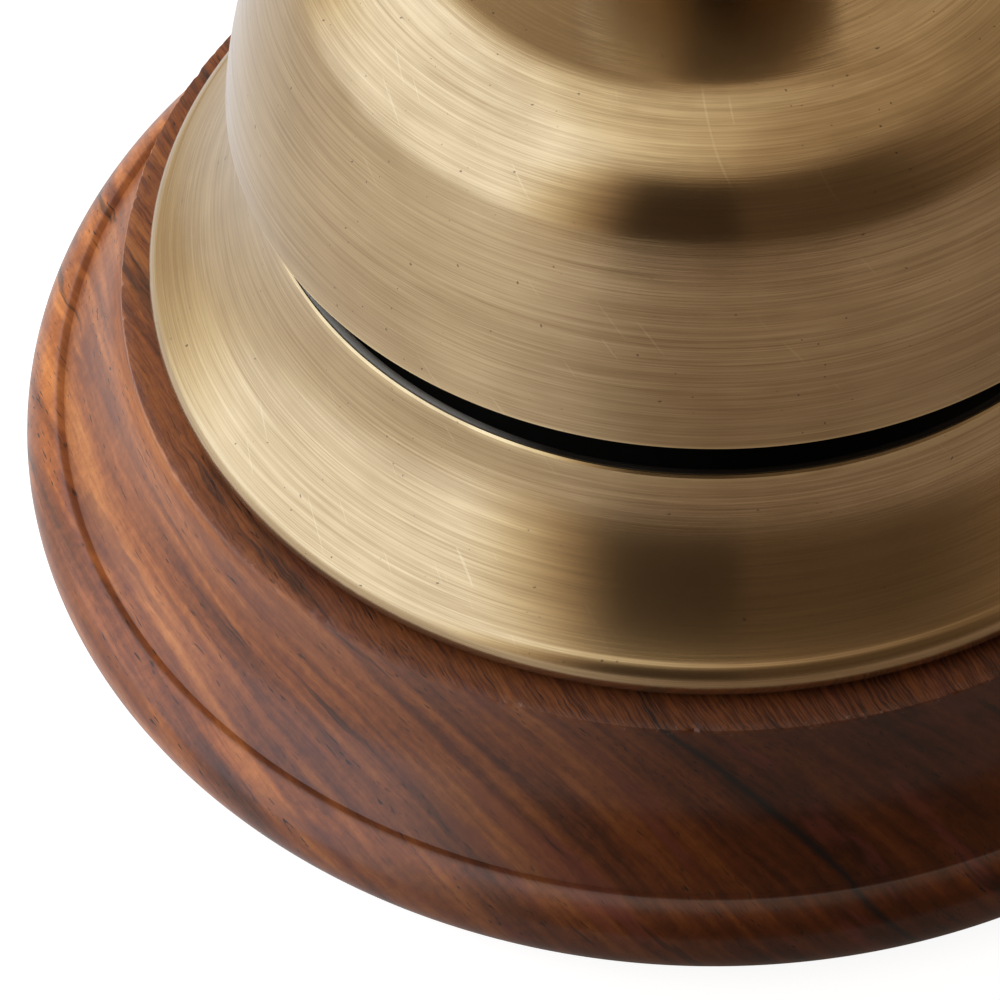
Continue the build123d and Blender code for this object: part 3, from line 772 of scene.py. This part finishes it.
def make_floor():
    """A pale, faintly glowing table top, dimmer where it is reflected at the front and right."""
    mesh = bpy.data.meshes.new("table_top")
    half = 3.0
    corners = [(-half, -half, 0), (half, -half, 0), (half, half, 0), (-half, half, 0)]
    mesh.from_pydata(corners, [], [(0, 1, 2, 3)])
    table = bpy.data.objects.new("table_top", mesh)
    bpy.context.scene.collection.objects.link(table)
    material, shader, surface, _, (x, y, _) = new_material("table_white")
    radius, unit_x, unit_y = around_axis(shader, x, y)
    to_left = shader.math("MULTIPLY", unit_x, -0.90)
    leftward = shader.math("ADD", to_left, shader.math("MULTIPLY", unit_y, 0.43))
    side = shader.window(leftward, -0.50, 0.40)
    # Within 150 mm of the axis the front's glow is darker: a painted shadow.
    near_shadow = shader.window(radius, 175.0, 150.0)
    # The base colour is darker at the front and right: painted shade.
    paint = shader.mix(side, (0.24, 0.20, 0.165, 1.0), (0.50, 0.50, 0.50, 1.0))
    shader.put(surface.inputs["Base Color"], paint)
    surface.inputs["Roughness"].default_value = 0.9
    surface.inputs["Specular IOR Level"].default_value = 0.1
    seen = shader.node("ShaderNodeLightPath").outputs["Is Camera Ray"]
    front = shader.mix(near_shadow, (0.17, 0.135, 0.115, 1.0), (0.10, 0.078, 0.065, 1.0))
    glow = shader.mix(side, front, (0.44, 0.43, 0.43, 1.0))
    shader.put(surface.inputs["Emission Color"], shader.mix(seen, glow, (0.92, 0.92, 0.92, 1.0)))
    surface.inputs["Emission Strength"].default_value = 1.0
    mesh.materials.append(material)


def place_camera():
    """The close view from above the front of the bell."""
    camera = bpy.data.cameras.new("view")
    camera.lens = 162.0
    camera.sensor_width = 36.0
    camera.clip_start = 0.01
    camera.clip_end = 20.0
    holder = bpy.data.objects.new("view", camera)
    bpy.context.scene.collection.objects.link(holder)
    turn = Matrix.Rotation(-radians(CAMERA_YAW), 4, "Z")
    turn @= Matrix.Rotation(pi / 2 - radians(CAMERA_PITCH), 4, "X")
    turn @= Matrix.Rotation(radians(CAMERA_ROLL), 4, "Z")
    holder.matrix_world = Matrix.Translation(CAMERA_AT) @ turn
    bpy.context.scene.camera = holder


place_camera()
light_studio()
make_floor()
bpy.context.scene.view_settings.view_transform = "Standard"

_, rim_z, _ = size_of("dome")
skirt_r, _, lip_z = size_of("base_skirt")
plinth_r, _, ledge_z = size_of("plinth")
_, knob_z, _ = size_of("knob")

dome_brass = aged_brass("aged_brass_dome", rim=rim_z)
skirt_brass = aged_brass("aged_brass_skirt", spread=0.21, lip=(skirt_r - LIP_INSET, lip_z))
small_brass = aged_brass("aged_brass_small")
knob_brass = aged_brass("aged_brass_knob", dark_below=knob_z + KNOB_WIDE_UP)
wood = rosewood(ledge_z, plinth_r - LEDGE_INSET, VEIN_AT)
felt = wool_felt()
spring_steel = plated_steel("steel_spring", (0.38, 0.38, 0.40), 0.28)

make_dome(dome_brass)
make_skirt(skirt_brass)
make_plinth(wood)
make_knob(knob_brass)
make_collar_nut(small_brass)
make_felt(felt)
make_spring(spring_steel)
paint_nodes({
    "aged_brass": small_brass,
    "bright_brass": turned_brass(),
    "rosewood": wood,
    "plain_steel": plated_steel("steel_zinc"),
    "spring_steel": spring_steel,
    "buffer_rubber": moulded_rubber(),
    "fibre": pressed_fibre(),
    "felt": felt,
})
